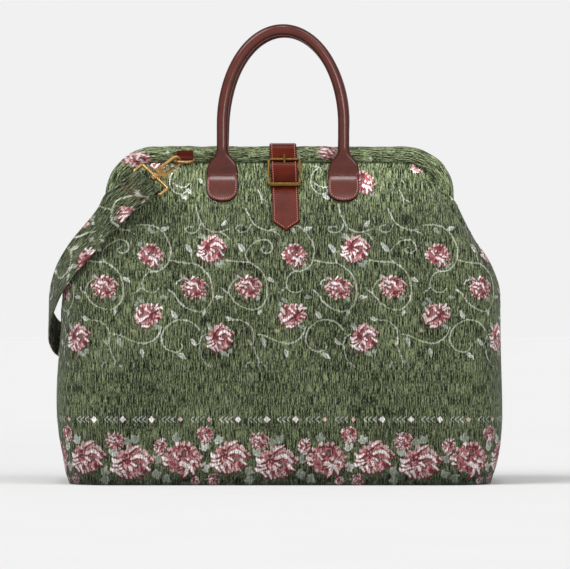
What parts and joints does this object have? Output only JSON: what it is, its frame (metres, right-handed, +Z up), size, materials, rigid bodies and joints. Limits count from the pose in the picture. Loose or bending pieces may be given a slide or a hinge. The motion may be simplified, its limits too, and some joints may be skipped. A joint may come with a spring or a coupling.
{
  "type": "carpet bag",
  "caption": "Cloth travel bag with a hinged mouth frame, rolled leather handles, a buckled closure strap and a clip-on shoulder strap.",
  "frame": {"origin": "middle of the base, on the surface the bag stands on", "axes": "+X to the viewer's right, +Y to the back of the bag, +Z up"},
  "size_m": [0.5236, 0.2352, 0.525],
  "materials": {
    "cloth": "chenille weave",
    "rim_cloth": "chenille weave, along the rim",
    "strap_cloth": "chenille weave, along the strap",
    "leather": "smooth, low gloss",
    "brass": "antique",
    "steel": "plain",
    "board": "plain"
  },
  "bodies": {
    "bag": {"front_panel": "cloth", "back_panel": "cloth", "base_panel": "cloth", "base_board": "board", "front_rim": "rim_cloth", "back_rim": "rim_cloth", "front_frame": "steel", "back_frame": "steel", "left_hinge_rivet": "steel", "right_hinge_rivet": "steel", "front_handle_tab_left": "leather", "front_handle_tab_right": "leather", "back_handle_tab_left": "leather", "back_handle_tab_right": "leather", "closure_strap": "leather", "closure_chape": "leather", "buckle_frame": "brass", "buckle_prong": "brass", "front_ring_tab": "leather", "front_hook_eye": "brass", "back_ring_tab": "leather", "back_hook_eye": "brass", "shoulder_strap": "strap_cloth"},
    "front_handle": {"front_handle": "leather"},
    "back_handle": {"back_handle": "leather"},
    "front_ring": {"front_ring": "brass"},
    "front_hook": {"front_hook": "brass", "front_gate_pin": "steel"},
    "front_gate": {"front_gate": "brass"},
    "back_ring": {"back_ring": "brass"},
    "back_hook": {"back_hook": "brass", "back_gate_pin": "steel"},
    "back_gate": {"back_gate": "brass"}
  },
  "joints": [
    {"name": "front_handle_fold", "type": "hinge", "parent": "bag", "child": "front_handle", "pos_m": [0, -0.03117, 0.3525], "axis": [1, 0, 0], "range_deg": [0, 95]},
    {"name": "back_handle_fold", "type": "hinge", "parent": "bag", "child": "back_handle", "pos_m": [0, 0.03117, 0.3525], "axis": [-1, 0, 0], "range_deg": [0, 95]},
    {"name": "front_ring_turn", "type": "hinge", "parent": "bag", "child": "front_ring", "pos_m": [-0.109, -0.02389, 0.36966], "axis": [1, 0, 0], "range_deg": [-5, 5]},
    {"name": "back_ring_turn", "type": "hinge", "parent": "bag", "child": "back_ring", "pos_m": [0.109, 0.02389, 0.36966], "axis": [-1, 0, 0], "range_deg": [-2, 5]},
    {"name": "front_hook_swivel", "type": "hinge", "parent": "bag", "child": "front_hook", "pos_m": [-0.14026, -0.04495, 0.35208], "axis": [0.7446, 0.3243, 0.5835], "range_deg": [-20, 20]},
    {"name": "back_hook_swivel", "type": "hinge", "parent": "bag", "child": "back_hook", "pos_m": [0.1104, 0.05574, 0.34276], "axis": [-0.0502, -0.5517, 0.8325], "range_deg": [-20, 20]},
    {"name": "front_gate_push", "type": "hinge", "parent": "front_hook", "child": "front_gate", "pos_m": [-0.13345, -0.0409, 0.35144], "axis": [0.4941, -0.8555, -0.1551], "range_deg": [0, 16], "stiffness_Nm_per_rad": 0.03, "springref_deg": -11.46},
    {"name": "back_gate_push", "type": "hinge", "parent": "back_hook", "child": "back_gate", "pos_m": [0.1101, 0.05677, 0.35063], "axis": [0.9987, -0.0277, 0.0418], "range_deg": [0, 16], "stiffness_Nm_per_rad": 0.03, "springref_deg": -11.46}
  ]
}
